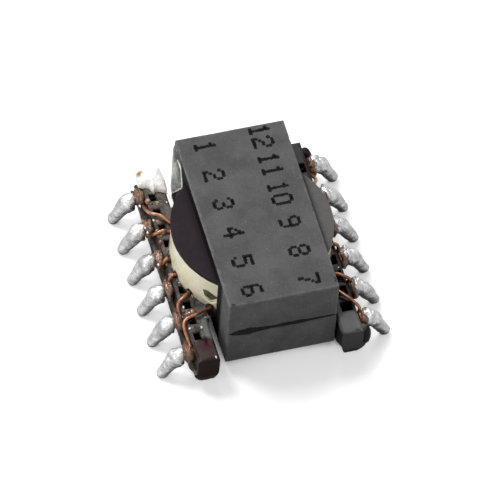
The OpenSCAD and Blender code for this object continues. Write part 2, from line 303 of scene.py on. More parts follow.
class Paint:
    """Builds one node material with short calls. Colours are linear RGB, sizes millimetres."""

    def __init__(self, name, colour, rough, **sockets):
        self.mat = bpy.data.materials.new(name)
        self.mat.use_nodes = True
        self.tree = self.mat.node_tree
        self.shader = self.tree.nodes["Principled BSDF"]
        self.set("Base Color", (*colour, 1))
        self.set("Roughness", rough)
        for socket, value in sockets.items():
            self.set(socket.replace("_", " "), value)
        self.place = self.add("ShaderNodeTexCoord").outputs["Object"]

    def set(self, socket, value):
        self.shader.inputs[socket].default_value = value

    def add(self, kind, **settings):
        node = self.tree.nodes.new(kind)
        for key, value in settings.items():
            setattr(node, key, value)
        return node

    def feed(self, socket, value):
        """Links an output to a socket, or sets a plain value on it."""
        if isinstance(value, bpy.types.NodeSocket):
            self.tree.links.new(value, socket)
        elif socket.type == "RGBA":
            socket.default_value = (*value, 1)
        else:
            socket.default_value = value

    def noise(self, size, detail=2.0, rough=0.5, stretch=(1, 1, 1)):
        mapping = self.add("ShaderNodeMapping")
        mapping.inputs["Scale"].default_value = [s / (size * MM) for s in stretch]
        self.feed(mapping.inputs["Vector"], self.place)
        node = self.add("ShaderNodeTexNoise")
        node.inputs["Scale"].default_value = 1.0
        node.inputs["Detail"].default_value = detail
        node.inputs["Roughness"].default_value = rough
        self.feed(node.inputs["Vector"], mapping.outputs["Vector"])
        return node.outputs["Fac"]

    def fit(self, value, a, b, low=0.0, high=1.0):
        """A value from a to b becomes one from low to high, and is held there."""
        node = self.add("ShaderNodeMapRange")
        for socket, v in zip(("Value", "From Min", "From Max", "To Min", "To Max"),
                             (value, a, b, low, high)):
            self.feed(node.inputs[socket], v)
        return node.outputs["Result"]

    def math(self, operation, a, b=0.0):
        node = self.add("ShaderNodeMath", operation=operation)
        self.feed(node.inputs[0], a)
        self.feed(node.inputs[1], b)
        return node.outputs[0]

    def mix(self, share, a, b):
        node = self.add("ShaderNodeMix", data_type="RGBA")
        colours = [s for s in node.inputs if s.type == "RGBA"]
        self.feed(node.inputs[0], share)
        self.feed(colours[0], a)
        self.feed(colours[1], b)
        return [s for s in node.outputs if s.type == "RGBA"][0]

    def near(self, point, reach, soft=0.5):
        """1 near a point in millimetres, falling to 0 at that reach."""
        node = self.add("ShaderNodeVectorMath", operation="DISTANCE")
        self.feed(node.inputs[0], self.place)
        node.inputs[1].default_value = [c * MM for c in point]
        return self.fit(node.outputs["Value"], reach * MM, reach * (1 - soft) * MM)

    def axis(self, name):
        node = self.add("ShaderNodeSeparateXYZ")
        self.feed(node.inputs[0], self.place)
        return node.outputs[name]

    def facing_up(self):
        node = self.add("ShaderNodeSeparateXYZ")
        self.feed(node.inputs[0], self.add("ShaderNodeNewGeometry").outputs["Normal"])
        return node.outputs["Z"]

    def bump(self, height, depth, strength=1.0):
        """Bump of that depth in millimetres."""
        node = self.add("ShaderNodeBump")
        node.inputs["Strength"].default_value = strength
        node.inputs["Distance"].default_value = depth * MM
        self.feed(node.inputs["Height"], height)
        self.feed(self.shader.inputs["Normal"], node.outputs["Normal"])

    def colour(self, value):
        self.feed(self.shader.inputs["Base Color"], value)

    def roughness(self, unevenness, low, high):
        """Roughness that follows a noise, whose bulk lies between 0.3 and 0.7."""
        self.feed(self.shader.inputs["Roughness"], self.fit(unevenness, 0.3, 0.7, low, high))


# ---- materials ----


def ferrite_material():
    """Ground, sintered ferrite: dark grey, finely speckled, lighter along its edges with wear and a
    painted highlight, with painted shade on the left side over the coil.
    """
    p = Paint("ferrite_ground", (0.1, 0.098, 0.1), 0.62, Specular_IOR_Level=0.04)
    speck = p.noise(0.05, 3, 0.7)
    blotch = p.noise(1.3, 3, 0.6)
    base = p.mix(p.fit(blotch, 0.35, 0.65), (0.086, 0.085, 0.086), (0.118, 0.116, 0.119))
    base = p.mix(p.fit(p.noise(0.08, 2, 0.6), 0.62, 0.72, 0, 0.6), base, (0.27, 0.268, 0.27))
    base = p.mix(p.fit(speck, 0.4, 0.28, 0, 0.6), base, (0.04, 0.039, 0.04))
    scratch = p.noise(0.12, 2, 0.5, (1, 0.08, 1))
    base = p.mix(p.fit(scratch, 0.66, 0.74, 0, 0.25), base, (0.19, 0.19, 0.19))
    # how far the point is inside each pair of outer faces
    inside = []
    for name, low, high in zip("XYZ", CORE_LOW, CORE_HIGH):
        off = p.math("ABSOLUTE", p.math("SUBTRACT", p.axis(name), (low + high) / 2 * MM))
        inside.append(p.math("SUBTRACT", (high - low) / 2 * MM, off))
    nearest = p.math("MINIMUM", p.math("MAXIMUM", inside[0], inside[1]),
                     p.math("MINIMUM", p.math("MAXIMUM", inside[0], inside[2]),
                            p.math("MAXIMUM", inside[1], inside[2])))
    # lighter along the edges: wear, and a painted highlight where the edges catch the light
    ragged = p.math("ADD", nearest, p.fit(p.noise(0.35, 4, 0.7), 0.3, 0.7, -0.00008, 0.00012))
    wear_and_highlight = p.fit(ragged, 0.00015, 0.00004, 0, 0.5)
    base = p.mix(wear_and_highlight, base, (0.2, 0.198, 0.2))
    # painted shade: nearly black on the left side over the coil; nearly black on the left
    # side over the coil: varnish soaked in, or shade, it isn't known
    left = p.fit(p.axis("X"), (CORE_LOW.x + 0.06) * MM, (CORE_LOW.x + 0.03) * MM)
    over_coil = p.fit(p.math("ABSOLUTE", p.axis("Y")), 4.3 * MM, 3.9 * MM)
    under_top = p.fit(p.axis("Z"), (CORE_HIGH.z - 0.05) * MM, (CORE_HIGH.z - 0.16) * MM)
    left_side_painted_shade = p.math("MULTIPLY", left, p.math("MULTIPLY", over_coil, under_top))
    base = p.mix(p.math("MULTIPLY", left_side_painted_shade, 0.96), base, (0.004, 0.003, 0.004))
    p.colour(base)
    p.roughness(speck, 0.52, 0.75)
    p.bump(p.math("ADD", speck, p.math("MULTIPLY", blotch, 2.0)), 0.012, 0.5)
    return p.mat


def glue_material():
    """Black adhesive, matt, with fine dust."""
    p = Paint("seam_adhesive", (0.004, 0.004, 0.004), 0.6, Specular_IOR_Level=0.15)
    dust = p.noise(0.08, 3, 0.6)
    p.colour(p.mix(p.fit(dust, 0.62, 0.78, 0, 0.4), (0.004, 0.004, 0.004), (0.04, 0.037, 0.034)))
    p.roughness(p.noise(0.4, 2), 0.5, 0.75)
    p.bump(dust, 0.015, 0.6)
    return p.mat


def former_material():
    """Dark moulded plastic: a plain flange, and rails that are patchy with dried flux, with painted
    shade, reflection and highlight.
    """
    p = Paint("former_moulded", (0.06, 0.05, 0.05), 0.45, Coat_Roughness=0.15,
              Specular_IOR_Level=0.03)
    wide = p.noise(0.7, 3, 0.6)
    fine = p.noise(0.13, 3, 0.65)
    across, along, height = p.axis("X"), p.axis("Y"), p.axis("Z")
    base = p.mix(p.fit(wide, 0.38, 0.62), (0.042, 0.034, 0.031), (0.125, 0.11, 0.098))
    base = p.mix(p.fit(fine, 0.55, 0.7, 0, 0.7), base, (0.2, 0.18, 0.155))
    base = p.mix(p.fit(fine, 0.42, 0.3, 0, 0.8), base, (0.022, 0.012, 0.011))
    # painted highlight: the inner half of the rails is lighter and greyer towards the front, where
    # the inner edge catches the light
    inner = p.fit(p.math("ABSOLUTE", across), 3.85 * MM, 3.6 * MM)
    ahead = p.fit(along, -2.6 * MM, -3.6 * MM)
    base = p.mix(p.math("MULTIPLY", inner, ahead), base, (0.16, 0.165, 0.16))
    right = p.fit(across, -0.5 * MM, 0.5 * MM)
    base = p.mix(p.math("MULTIPLY", right, 0.92), base, (0.014, 0.012, 0.013))
    # greyer and browner spots on the front end blocks
    base = p.mix(p.near((3.9, -5.6, 2.25), 0.85, 0.25), base, (0.15, 0.146, 0.146))
    base = p.mix(p.near((-3.7, -5.6, 2.25), 1.0, 0.4), base, (0.03, 0.018, 0.017))
    base = p.mix(p.near((-3.72, -5.15, 2.25), 0.55, 0.4), base, (0.03, 0.003, 0.004))
    # painted shade: upright faces darker than the tops
    base = p.mix(p.fit(p.facing_up(), 0.55, 0.15, 0, 0.75), base, (0.022, 0.016, 0.015))
    # the end faces are dark, brown on the left
    end = p.fit(along, -6.12 * MM, -6.17 * MM)
    base = p.mix(end, base, p.mix(right, (0.018, 0.009, 0.008), (0.056, 0.053, 0.055)))
    # the upper flange with painted shade and reflection: its left half darker than its right, and a
    # painted shadow of the core in a band beside it on the right
    plate = p.mix(right, (0.026, 0.019, 0.023), (0.13, 0.12, 0.12))
    shade = p.math("MULTIPLY", right, p.fit(across, 3.45 * MM, 3.22 * MM))
    plate = p.mix(shade, plate, (0.03, 0.027, 0.03))
    flange = p.fit(height, 4.36 * MM, 4.42 * MM)
    p.colour(p.mix(flange, base, plate))
    p.roughness(wide, 0.35, 0.6)
    p.feed(p.shader.inputs["Coat Weight"], p.fit(height, 2.3 * MM, 3.0 * MM, 0.1, 0.0))
    p.bump(p.math("ADD", fine, wide), 0.03, 0.5)
    return p.mat


def flux_material():
    """Dried flux: glassy, pale and patchy, with tan and brown stains; its near white stands partly
    for a painted highlight.
    """
    p = Paint("flux_dried_with_glints", (0.5, 0.5, 0.48), 0.12, Coat_Weight=0.8, Coat_Roughness=0.04)
    wide = p.noise(0.5, 3, 0.6)
    fine = p.noise(0.12, 4, 0.7)
    base = p.mix(p.fit(fine, 0.35, 0.5), (0.68, 0.67, 0.62), (0.9, 0.89, 0.86))
    base = p.mix(p.fit(wide, 0.64, 0.74, 0, 0.5), base, (0.5, 0.42, 0.28))
    base = p.mix(p.near((-4.4, 5.9, 2.55), 0.3, 0.75), base, (0.28, 0.12, 0.015))
    p.colour(base)
    p.roughness(wide, 0.08, 0.3)
    p.bump(wide, 0.02, 0.4)
    return p.mat


def varnish_material():
    """Clear varnish that has run down the core and dried milky, with dark green streaks."""
    p = Paint("varnish_run", (0.3, 0.3, 0.29), 0.25, Coat_Weight=0.5, Coat_Roughness=0.1)
    fine = p.noise(0.2, 4, 0.65)
    streak = p.noise(0.5, 3, 0.6, (1, 1.6, 0.35))
    base = p.mix(p.fit(fine, 0.35, 0.65), (0.2, 0.205, 0.19), (0.42, 0.43, 0.4))
    p.colour(p.mix(p.fit(streak, 0.42, 0.52, 0, 0.92), base, (0.045, 0.05, 0.038)))
    p.roughness(fine, 0.18, 0.45)
    p.bump(fine, 0.02, 0.5)
    return p.mat


def resin_material():
    """Burnt flux at the joints: brown, amber and olive, and glassy."""
    p = Paint("resin_residue", (0.1, 0.06, 0.03), 0.22, Coat_Weight=0.4, Coat_Roughness=0.08)
    wide = p.noise(0.4, 2, 0.5)
    fine = p.noise(0.12, 3, 0.65)
    base = p.mix(p.fit(wide, 0.4, 0.5), (0.06, 0.025, 0.018), (0.17, 0.08, 0.036))
    base = p.mix(p.fit(wide, 0.6, 0.7, 0, 0.75), base, (0.42, 0.3, 0.15))
    base = p.mix(p.fit(fine, 0.54, 0.66, 0, 0.8), base, (0.13, 0.022, 0.012))
    base = p.mix(p.fit(fine, 0.42, 0.32, 0, 0.8), base, (0.02, 0.01, 0.009))
    p.colour(base)
    p.roughness(fine, 0.12, 0.35)
    p.bump(p.math("ADD", fine, wide), 0.03, 0.6)
    return p.mat


def hollow_material():
    """Painted shade: the olive dark under the tape where its end stands off."""
    p = Paint("tape_hollow", (0.06, 0.06, 0.025), 0.6, Specular_IOR_Level=0.2)
    wide = p.noise(0.25, 3, 0.6)
    p.colour(p.mix(p.fit(wide, 0.35, 0.65), (0.04, 0.042, 0.018), (0.12, 0.12, 0.055)))
    p.roughness(wide, 0.45, 0.7)
    p.bump(wide, 0.02, 0.4)
    return p.mat


def tape_material():
    """Cream polyester tape, shiny and slightly see-through, darker in patches towards its lower
    edge.
    """
    p = Paint("tape_cream", (0.86, 0.83, 0.62), 0.35, Coat_Weight=0.3, Coat_Roughness=0.12)
    wide = p.noise(1.1, 3, 0.6, (1, 1, 0.5))
    fine = p.noise(0.16, 3, 0.6, (1, 1, 0.4))
    base = p.mix(p.fit(wide, 0.35, 0.65), (0.88, 0.84, 0.56), (0.94, 0.91, 0.72))
    base = p.mix(p.fit(fine, 0.62, 0.76, 0, 0.4), base, (0.6, 0.54, 0.27))
    # darker in patches towards the tape's lower edge
    low = p.fit(p.axis("Z"), (TAPE_LOW.z + 0.55) * MM, TAPE_LOW.z * MM)
    lower_darkening = p.math("MULTIPLY", low, p.fit(wide, 0.42, 0.62, 0.1, 0.7))
    base = p.mix(lower_darkening, base, (0.2, 0.15, 0.05))
    p.colour(base)
    p.roughness(wide, 0.22, 0.45)
    p.bump(p.math("ADD", wide, fine), 0.03, 0.5)
    return p.mat


def film_material():
    """Thin yellow tape between the layers."""
    p = Paint("tape_between_layers", (0.66, 0.58, 0.3), 0.4)
    wide = p.noise(0.6, 2)
    p.colour(p.mix(p.fit(wide, 0.3, 0.7), (0.55, 0.47, 0.2), (0.7, 0.64, 0.36)))
    p.roughness(wide, 0.3, 0.5)
    p.bump(wide, 0.01, 0.4)
    return p.mat


def tin_material():
    """Dull, lumpy dip tin: pale grey, with darker grains and dross, and undersides painted dark as
    shade and reflection.
    """
    p = Paint("solder_dipped", (0.62, 0.62, 0.63), 0.4, Metallic=0.85)
    grain = p.noise(0.09, 3, 0.65)
    wide = p.noise(0.35, 3, 0.6)
    base = p.mix(p.fit(wide, 0.35, 0.65), (0.46, 0.46, 0.47), (0.74, 0.74, 0.745))
    base = p.mix(p.fit(grain, 0.56, 0.7, 0, 0.6), base, (0.17, 0.167, 0.17))
    # painted shade and reflection: faces that point down are darker
    base = p.mix(p.fit(p.facing_up(), 0.25, -0.35, 0, 0.9), base, (0.045, 0.045, 0.048))
    p.colour(base)
    p.roughness(grain, 0.2, 0.45)
    p.bump(p.math("ADD", grain, p.math("MULTIPLY", wide, 2.0)), 0.05, 0.7)
    return p.mat


def terminal_material():
    """Tinned wire of the terminals, browned by flux next to the rail."""
    p = Paint("terminal_tinned", (0.45, 0.44, 0.43), 0.4, Metallic=0.9)
    wide = p.noise(0.2, 3, 0.6)
    p.colour(p.mix(p.fit(wide, 0.4, 0.65), (0.5, 0.49, 0.48), (0.16, 0.1, 0.06)))
    p.roughness(wide, 0.3, 0.55)
    p.bump(wide, 0.02, 0.5)
    return p.mat


def copper_material():
    """Enamelled copper wire: orange-brown, glossy, darker where flux has burnt on."""
    p = Paint("copper_enamelled", (0.5, 0.2, 0.08), 0.3, Metallic=0.6, Coat_Weight=0.6,
              Coat_Roughness=0.08)
    wide = p.noise(0.45, 3, 0.6)
    fine = p.noise(0.08, 2, 0.6)
    base = p.mix(p.fit(wide, 0.35, 0.65), (0.2, 0.068, 0.03), (0.47, 0.19, 0.095))
    base = p.mix(p.fit(fine, 0.6, 0.72, 0, 0.6), base, (0.14, 0.05, 0.02))
    p.colour(base)
    p.roughness(fine, 0.22, 0.42)
    p.bump(fine, 0.01, 0.5)
    return p.mat


def ink_material():
    """Black marking ink, thin enough for the ferrite's grain to show."""
    p = Paint("ink_black", (0.006, 0.006, 0.007), 0.6, Specular_IOR_Level=0.03)
    grain = p.noise(0.05, 3, 0.7)
    p.colour(p.mix(p.fit(grain, 0.64, 0.76, 0, 0.6), (0.013, 0.013, 0.014), (0.06, 0.06, 0.06)))
    p.roughness(grain, 0.45, 0.7)
    p.bump(grain, 0.006, 0.4)
    return p.mat


FERRITE = ferrite_material()
GLUE = glue_material()
FORMER = former_material()
FLUX_WITH_GLINTS = flux_material()
VARNISH = varnish_material()
RESIN = resin_material()
HOLLOW = hollow_material()
TAPE = tape_material()
FILM = film_material()
TIN = tin_material()
TERMINAL = terminal_material()
COPPER = copper_material()
INK = ink_material()


# ---- core ----


def chipped(co, normal):
    """Small chips and unevenness along the core's outer edges."""
    inside = [min(co[i] - CORE_LOW[i], CORE_HIGH[i] - co[i]) for i in range(3)]
    inside.sort()
    keen = max(0.0, 1 - inside[1] / 0.12)
    bite = max(0.0, noise_at(co, 0.22, 2) - 0.3) * 0.12
    return -normal * keen * bite


def add_core():
    for name, node in (("core_bottom_half", "core_lower"), ("core_top_half", "core_upper")):
        mesh = refined(node, 0.015, 0.2, chipped)
        add_mesh(name, mesh, FERRITE, (node,), sharp=40)


# ---- adhesive ----


def add_glue():
    """The bead along each end's seam, with the film behind it."""
    width = CORE_HIGH.x - CORE_LOW.x
    bead_h, swell, out = 0.22, 0.46, 0.07
    span = width - 0.2
    end_y = CORE_HIGH.y - CORE_MID.y
    steps, arc = 90, 12
    for name, node, way in (("glue_bead_front", "glue_front", 1),
                            ("glue_bead_back", "glue_back", -1)):
        verts = []
        for i in range(steps + 1):
            t = 0.02 + 0.96 * i / steps
            x = (t - 0.5) * span
            u = x / width
            half = (bead_h + swell * math.exp(-(((u + 0.37) / 0.16) ** 2))
                    + bead_h * 0.25 * math.sin(math.radians(u * 870))
                    + bead_h * 0.15 * math.sin(math.radians(u * 2380 + 60))) / 2
            taper = math.sin(math.pi * t) ** 0.35
            ragged = 1 + 0.16 * noise_at((x, way, 0), 0.3, 5) + 0.08 * noise_at((x, way, 0), 0.1, 6)
            for j in range(arc + 1):
                a = math.pi * j / arc
                bulge = out * taper * math.sin(a) * (1 + 0.25 * noise_at((x, a, way), 0.35, 8))
                spot = Vector((x, -end_y - bulge, -half * taper * ragged * math.cos(a)))
                verts.append(Vector((way * spot.x, way * spot.y, spot.z))
                             + Vector((CORE_MID.x, CORE_MID.y, SEAM_Z)))
        bead = (verts, ring_faces(steps + 1, arc + 1))
        add_piece(name, *joined([bead, film_block(way, end_y)]), GLUE, "adhesive", (node,),
                  sharp=60)


def film_block(way, end_y):
    """The thin film of glue that shows as a line right across the seam."""
    x0, x1 = CORE_LOW.x + 0.09, CORE_HIGH.x - 0.09
    y0, y1 = CORE_MID.y - way * (end_y + 0.012), CORE_MID.y - way * (end_y - 0.4)
    z0, z1 = SEAM_Z - 0.019, SEAM_Z + 0.019
    verts = [(x, y, z) for x in (x0, x1) for y in (y0, y1) for z in (z0, z1)]
    faces = [(0, 1, 3, 2), (4, 6, 7, 5), (0, 4, 5, 1), (2, 3, 7, 6), (0, 2, 6, 4), (1, 5, 7, 3)]
    return verts, faces


# ---- coil former ----


def moulded(co, normal):
    """Gentle unevenness of the moulding, most on the rails where flux has set."""
    on_rail = 1.0 if abs(co.x) > RAIL_X0 - 0.05 else 0.25
    move = normal * on_rail * (0.018 * noise_at(co, 0.3, 4) + 0.01 * noise_at(co, 0.12, 9))
    # the blocks at the rails' ends are worn round underneath
    low = min(1.0, max(0.0, 1.3 - co.z) / 0.88)
    end = min(1.0, max(0.0, abs(co.y) - 5.3) / 0.6)
    if abs(co.x) > RAIL_X0 - 0.05 and low * end > 0:
        mid = math.copysign((RAIL_X0 + RAIL_X1) / 2, co.x)
        off = (co.x - mid) / (RAIL_W / 2)
        move.x -= 0.24 * low ** 2 * end * off * abs(off)
        move.y -= math.copysign(0.14 * low ** 2 * end, co.y)
    return move


def add_former():
    mesh = refined("coil_former", 0.03, 0.22, moulded)
    add_mesh("coil_former_moulding", mesh, FORMER, ("coil_former",), sharp=40)


# ---- windings and leads ----


def polar(r, degrees, z):
    a = math.radians(degrees)
    return Vector((-r * math.cos(a), r * math.sin(a), z))


def lead_path(k, side):
    """Down from the layer, out under the tape, over the rail's edge and round the terminal."""
    a = 180 - LEAD_EXITS[side][k - 1]
    drop = LEAD_DROPS[side][k - 1]
    y = pin_y(k)
    r = FIRST_R + (k - 1) * LAYER_STEP
    out_r = COIL_R + 2 * TAPE_T + 2 * LAYER_GAP + 2 * WIRE_R
    inner = []
    for i in range(7):
        b = math.radians(15 * i)
        inner.append(polar(r + LEAD_BEND * (1 - math.cos(b)), a,
                           BAND_Z + LEAD_BEND * (1 - math.sin(b))))
    outer = polar(out_r, a, BAND_Z)
    edge = Vector((-WRAP_X, y + drop, RAIL_Z + WIRE_R))
    rise = Vector(((outer.x - RAIL_X1) / 2, (outer.y + edge.y) / 2, RAIL_Z + WIRE_R + LEAD_BOW))
    start_a = math.radians(200 if drop < 0 else 60)
    start = Vector((-WRAP_X, y + WRAP_R * math.cos(start_a), PIN_Z + WRAP_R * math.sin(start_a)))
    free = smooth_curve([inner[-1], outer, rise, edge, start, start + (start - edge)], 12)
    wraps = []
    steps = 32
    for i in range(round(WRAP_TURNS * steps) + 1):
        t = i / steps
        b = start_a + math.tau * t
        wraps.append(Vector((-WRAP_X - WRAP_PITCH * t, y + WRAP_R * math.cos(b),
                             PIN_Z + WRAP_R * math.sin(b))))
    path = inner + free + wraps
    return [Vector((side * -p.x, p.y, p.z)) for p in path]


def layer_ring(k, sides=96):
    """One layer of turns: a lathed ring with a rounded ridge for each turn, closed inside."""
    r = FIRST_R + (k - 1) * LAYER_STEP
    pitch = 2 * WIRE_R * 1.03
    outer, inner = [], []
    for turn in range(TURNS):
        z = LAYER_Z + turn * pitch
        for b in (-60, -20, 20, 60):
            c, s = math.cos(math.radians(b)), math.sin(math.radians(b))
            outer.append((r + WIRE_R * c, z + WIRE_R * s))
            inner.append((r - WIRE_R * c, z + WIRE_R * s))
    profile = outer + inner[::-1]
    verts = []
    for i in range(sides):
        a = math.tau * i / sides
        verts.extend((q * math.cos(a), q * math.sin(a), z) for q, z in profile)
    return verts, ring_faces(sides, len(profile), closed=True)


def add_windings():
    for k in range(1, POLES + 1):
        parts = [layer_ring(k)]
        for side in ROWS:
            parts.append(tube(lead_path(k, side), WIRE_R, 14))
        add_piece(f"winding_wire_{k}", *joined(parts), COPPER, "copper_wire",
                  (f"winding_{k}",), sharp=50)


# ---- tape ----


def add_outer_tape():
    """Two wraps of tape as one band that winds outwards and ends in a lap."""
    low, high = RAIL_Z + LAYER_GAP, TAPE_HIGH.z
    start = LEAD_EXITS[-1][-1] + 6
    total = 2 * 360 + 30
    step = 1.5
    count = round(total / step)
    bands = 10
    thick = TAPE_T * 0.94
    exits = list(LEAD_EXITS[-1]) + [180 - degrees for degrees in LEAD_EXITS[1]]
    arch_high = LAYER_Z - WIRE_R - low + 0.09
    verts = []
    for i in range(count + 1):
        degrees = start + i * step
        a = math.radians(degrees)
        turn = i / count * total / 360
        r = COIL_R + min(turn, 2.06) * TAPE_T * 0.97
        arch = 0.0
        for e in exits:
            off = abs((degrees - e + 180) % 360 - 180)
            arch = max(arch, 0.5 + 0.5 * math.cos(math.pi * min(1, max(0, off - 1.6) / 3.2)))
        wave = 0.012 * noise_at((math.cos(a) * 4, math.sin(a) * 4, turn), 0.9, 11)
        z0 = low + arch_high * arch + 0.008
        z1 = high - 0.01 - 0.01 * abs(noise_at((math.cos(a) * 4, math.sin(a) * 4, 7), 0.8, 12))
        levels = [z0 + (z1 - z0) * s / bands for s in range(bands + 1)]
        for z in levels:
            bulge = wave + 0.012 * noise_at((math.cos(a) * 4, math.sin(a) * 4, z), 0.5, 13)
            out = r + thick + max(0, bulge)
            verts.append((out * math.cos(a), out * math.sin(a), z))
        for z in reversed(levels):
            verts.append((r * math.cos(a), r * math.sin(a), z))
    faces = ring_faces(count + 1, 2 * (bands + 1))
    add_piece("outer_tape_wrap", verts, faces, TAPE, "cream_tape", ("outer_tape",), sharp=50)


# ---- tin ----


def tin_leg(k, side):
    """Tin round a leg, from the bend to the round toe that stands on the board."""
    seed = 47 * number_of(k, side)
    rng = random.Random(seed)
    # where the tin is fullest on its way down, over what share of the way, and by how much
    root_at, root_reach, root_swell = (0.26, 0.3, 0.14) if side < 0 else (0.12, 0.2, 0.05)
    neck = 0.3
    toe_turn = 84
    leg_len = (LEG_Z - TOE_Z) / math.sin(LEG_SLOPE)
    ahead = Vector((math.cos(LEG_SLOPE), 0, -math.sin(LEG_SLOPE)))
    rings = []
    bend_n, leg_n, toe_n, sides = 12, 22, 8, 36
    for i in range(bend_n + 1):
        a = LEG_SLOPE * i / bend_n
        x = (TIN_X if i == 0 else BEND_X) + BEND_R * math.sin(a)
        rings.append((Vector((x, 0, PIN_Z - BEND_R * (1 - math.cos(a)))), a))
    for i in range(1, leg_n + 1):
        rings.append((Vector((LEG_X, 0, LEG_Z)) + ahead * leg_len * i / leg_n, LEG_SLOPE))
    body = len(rings) - 1
    for i in range(1, toe_n + 1):
        turn = math.radians(toe_turn * i / toe_n)
        rings.append((rings[body][0] + ahead * TOE_R * math.sin(turn), LEG_SLOPE))
    full = PIN_R + TIN_T
    verts = []
    drift = rng.uniform(-0.3, 0.3)
    for i, (centre, slope) in enumerate(rings):
        u = min(1.0, i / body)
        if u < neck:
            plain = full - TIN_T * 0.55 * (1 - u / neck)
        elif i <= body:
            plain = full + (TOE_R - full) * (u - neck) / 0.7
        else:
            plain = TOE_R * math.cos(math.radians(toe_turn * (i - body) / toe_n))
        if i == 0:
            plain *= 0.82
        up = Vector((math.sin(slope), 0, math.cos(slope)))
        for j in range(sides):
            a = math.tau * j / sides
            out = math.cos(a) * up + math.sin(a) * Vector((0, 1, 0))
            lump = 0.0
            if i <= body:
                lump = 0.03 * math.sin(math.pi * u) * math.sin(
                    2 * a + math.radians(seed * 3 + 540 * u))
            front = max(0.0, -0.8 * out.y - 0.6 * out.z)
            root = math.exp(-(((u - root_at) / root_reach) ** 2))
            lump += root_swell * front * root
            if side > 0:
                lump -= 0.05 * abs(out.y) * u
            spot = centre + plain * out
            rough = (0.03 * noise_at(spot, 0.24, seed + drift)
                     + 0.014 * noise_at(spot, 0.09, seed + 1))
            rough *= min(1.0, 1.2 - u * 0.4) * (0.3 if i == 0 else 1)
            point = centre + (plain + lump + rough) * out
            point.z = max(point.z, 0.0)
            verts.append(Vector((side * point.x, point.y + pin_y(k), point.z)))
    return verts, ring_faces(len(rings), sides)


def add_tin():
    for side in ROWS:
        for k in range(1, POLES + 1):
            n = number_of(k, side)
            verts, faces = tin_leg(k, side)
            add_piece(f"tin_coat_{n:02d}", verts, faces, TIN, "solder_tin",
                      (f"solder_{n:02d}",), sharp=60)


# ---- flux, varnish and residue ----


def rounded_reach(half_x, half_y, seed, ragged=0.12):
    """Outline of a rounded patch with a wavering edge."""
    def outline(a):
        c, s = math.cos(a), math.sin(a)
        n = 3.2
        r = (abs(c / half_x) ** n + abs(s / half_y) ** n) ** (-1 / n)
        r *= 1 + ragged * noise_at((c * 2, s * 2, 0), 0.7, seed) - ragged / 2
        return r * c, r * s
    return outline


def patch_reach(points, centre):
    """Outline of a patch through points round its centre, straight from one to the next."""
    turns = sorted((math.atan2(v - centre[1], u - centre[0]) % math.tau,
                    math.hypot(u - centre[0], v - centre[1])) for u, v in points)

    def outline(a):
        for i, (a1, r1) in enumerate(turns):
            a0, r0 = turns[i - 1]
            span, into = (a1 - a0) % math.tau, (a - a0) % math.tau
            if into <= span:
                break
        r = r0 * r1 * math.sin(span) / (r0 * math.sin(into) + r1 * math.sin(span - into))
        return r * math.cos(a), r * math.sin(a)
    return outline


# outline of the white flux on the back left block, from above; its white is partly a painted
# highlight
POOL = ((-4.25, 6.26), (-3.35, 6.26), (-3.2, 6.1), (-3.1, 5.24), (-3.17, 4.5), (-3.7, 4.74),
        (-3.92, 4.64), (-4.05, 5.0), (-4.56, 5.25), (-4.6, 5.6), (-4.54, 6.05))


POOL_MIDDLE = (-3.8, 5.5)

# the thin run of flux that leaves the pool beside the core, white as a painted highlight along the
# rail's inner edge
RUN = ((-3.2, 5.0, 2.27), (-3.18, 4.6, 2.28), (-3.14, 4.3, 2.27), (-3.08, 4.08, 2.27),
       (-3.05, 3.95, 2.26), (-3.02, 3.85, 2.25))

# small glassy beads on the left rail and its joints, from above, white as painted glints
BEADS = ((-4.84, 2.73), (-4.34, 3.0), (-4.8, 2.42), (-4.78, 0.33), (-4.25, -2.67),
         (-4.45, -3.12), (-3.66, -4.09), (-3.42, -6.05), (-4.76, 4.16))


def add_flux():
    pool = dome((*POOL_MIDDLE, RAIL_Z), RIGHT, BACK, UP, patch_reach(POOL, POOL_MIDDLE), 0.4,
                lump=0.07, seed=2, rings=18, sides=96, sink=0.06)
    add_piece("flux_pool_back_left", *pool, FLUX_WITH_GLINTS, "former_plastic")
    run = tube(smooth_curve(RUN, 6), lambda t: 0.06 - 0.03 * t, 10)
    add_piece("flux_run_back_left", *run, FLUX_WITH_GLINTS, "former_plastic")
    parts = []
    for i, (x, y) in enumerate(BEADS):
        z = RAIL_Z if x > -RAIL_X1 else PIN_Z + WRAP_R + WIRE_R
        parts.append(blob((x, y, z + 0.02), (0.05, 0.08, 0.04), i * 2.3, 0.4))
    add_piece("flux_beads", *joined(parts), FLUX_WITH_GLINTS, "former_plastic")
    # white specks of flux on the rails, partly painted glints
    rng = random.Random(12)
    parts = []
    for side, count in ((-1, 24), (1, 4)):
        for _ in range(count):
            y = rng.uniform(-POCKETS_END, POCKETS_END)
            x = side * rng.uniform(RAIL_X0 + 0.08, RAIL_X1 - 0.08)
            r = rng.uniform(0.03, 0.08)
            if over_pocket(x, y):
                continue
            parts.append(dome((x, y, RAIL_Z), RIGHT, BACK, UP,
                              rounded_reach(r, r * rng.uniform(0.7, 1.6), rng.random() * 9, 0.3),
                              r * 0.5, lump=0.3, seed=rng.random() * 5, rings=4, sides=12))
    add_piece("flux_specks", *joined(parts), FLUX_WITH_GLINTS, "former_plastic")


def joint_lump(k, side, shift, radii, seed, lump):
    """A fine blob at a joint, shifted out, back and up from where its terminal leaves the rail."""
    out, back, up = shift
    centre = (side * (RAIL_X1 + out), pin_y(k) + back, PIN_Z + up)
    return blob(centre, radii, seed * k, lump, *FINE_BLOB)


